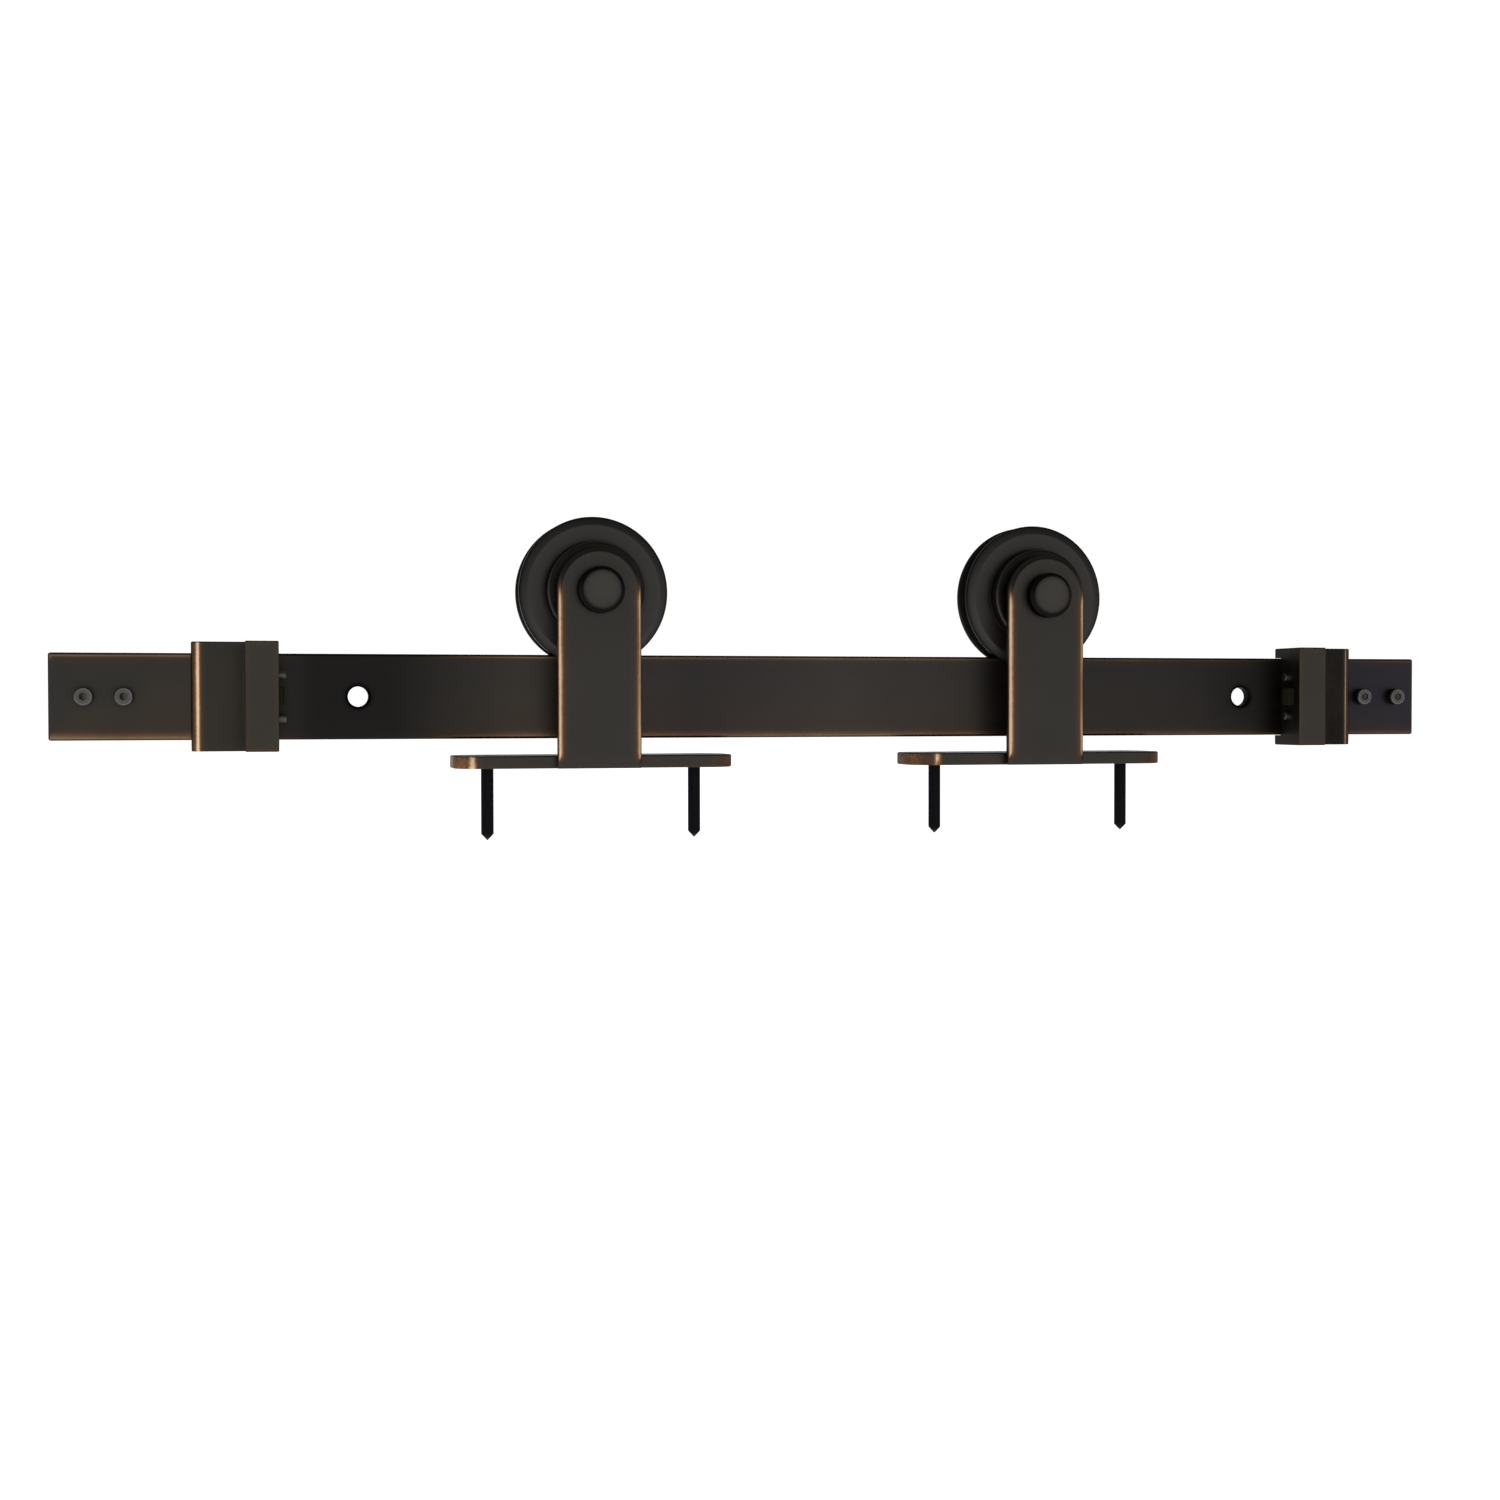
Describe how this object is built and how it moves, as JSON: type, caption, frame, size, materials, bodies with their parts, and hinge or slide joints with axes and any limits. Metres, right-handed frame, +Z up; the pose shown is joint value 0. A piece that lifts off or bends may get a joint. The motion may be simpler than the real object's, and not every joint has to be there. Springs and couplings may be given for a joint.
{
  "type": "sliding barn door hardware",
  "caption": "Flat rail with T-plate hangers rolling on grooved ball-bearing wheels between clamped end stops, for a sliding barn door.",
  "frame": {"origin": "the middle of the rail's back face", "axes": "+X along the rail to its right end, +Z up, +Y out of the rail's back face towards the wall"},
  "size_m": [0.692, 0.0505, 0.1545],
  "materials": {
    "rail_finish": "satin oil-rubbed bronze, worn to copper along the long edges",
    "strap_finish": "satin oil-rubbed bronze, edges worn to copper",
    "stop_finish": "satin oil-rubbed bronze",
    "wheel_finish": "satin black-brown",
    "black_steel": "black oxide",
    "grey_fasteners": "dark zinc",
    "bearing_steel": "ground bearing steel",
    "rubber": "matt moulded rubber"
  },
  "bodies": {
    "rail": {"rail": "rail_finish", "joint_screw_left_outer": "grey_fasteners", "joint_screw_left_inner": "grey_fasteners", "joint_screw_right_inner": "grey_fasteners", "joint_screw_right_outer": "grey_fasteners", "joint_nut_left_outer": "grey_fasteners", "joint_nut_left_inner": "grey_fasteners", "joint_nut_right_inner": "grey_fasteners", "joint_nut_right_outer": "grey_fasteners"},
    "left_hanger": {"left_strap": "strap_finish", "left_t_plate": "strap_finish", "left_axle_bolt": "strap_finish", "left_axle_spacer": "black_steel", "left_axle_washer": "grey_fasteners", "left_axle_nut": "grey_fasteners", "left_bearing_inner_ring": "bearing_steel", "left_door_screw_left": "black_steel", "left_door_screw_right": "black_steel"},
    "left_roller": {"left_wheel": "wheel_finish", "left_bearing_outer_ring": "bearing_steel", "left_bearing_balls": "bearing_steel", "left_bearing_shield_front": "black_steel", "left_bearing_shield_rear": "black_steel", "left_retaining_ring": "black_steel"},
    "left_stop": {"left_stop_body": "stop_finish", "left_stop_buffer": "rubber", "left_stop_face_screw_lower": "grey_fasteners", "left_stop_face_screw_upper": "grey_fasteners", "left_stop_set_screw_1": "black_steel", "left_stop_set_screw_2": "black_steel"},
    "right_hanger": {"right_strap": "strap_finish", "right_t_plate": "strap_finish", "right_axle_bolt": "strap_finish", "right_axle_spacer": "black_steel", "right_axle_washer": "grey_fasteners", "right_axle_nut": "grey_fasteners", "right_bearing_inner_ring": "bearing_steel", "right_door_screw_left": "black_steel", "right_door_screw_right": "black_steel"},
    "right_roller": {"right_wheel": "wheel_finish", "right_bearing_outer_ring": "bearing_steel", "right_bearing_balls": "bearing_steel", "right_bearing_shield_front": "black_steel", "right_bearing_shield_rear": "black_steel", "right_retaining_ring": "black_steel"},
    "right_stop": {"right_stop_body": "stop_finish", "right_stop_buffer": "rubber", "right_stop_face_screw_lower": "grey_fasteners", "right_stop_face_screw_upper": "grey_fasteners", "right_stop_set_screw_1": "black_steel", "right_stop_set_screw_2": "black_steel"}
  },
  "joints": [
    {"name": "left_hanger_slide", "type": "slide", "parent": "rail", "child": "left_hanger", "axis": [1, 0, 0], "range_m": [-0.121, 0.0445]},
    {"name": "right_hanger_slide", "type": "slide", "parent": "rail", "child": "right_hanger", "axis": [1, 0, 0], "range_m": [-0.0445, 0.1135]},
    {"name": "left_wheel_spin", "type": "hinge", "parent": "left_hanger", "child": "left_roller", "pos_m": [-0.097, -0.003, 0.05005], "axis": [0, 1, 0], "continuous": true},
    {"name": "right_wheel_spin", "type": "hinge", "parent": "right_hanger", "child": "right_roller", "pos_m": [0.128, -0.003, 0.05005], "axis": [0, 1, 0], "continuous": true},
    {"name": "left_stop_slide", "type": "slide", "parent": "rail", "child": "left_stop", "axis": [1, 0, 0], "range_m": [-0.024, 0]},
    {"name": "right_stop_slide", "type": "slide", "parent": "rail", "child": "right_stop", "axis": [1, 0, 0], "range_m": [0, 0.0025]}
  ],
  "couplings": [
    {"joint": "left_wheel_spin", "follows": "left_hanger_slide", "rad_per_m": 33.333},
    {"joint": "right_wheel_spin", "follows": "right_hanger_slide", "rad_per_m": 33.333}
  ]
}
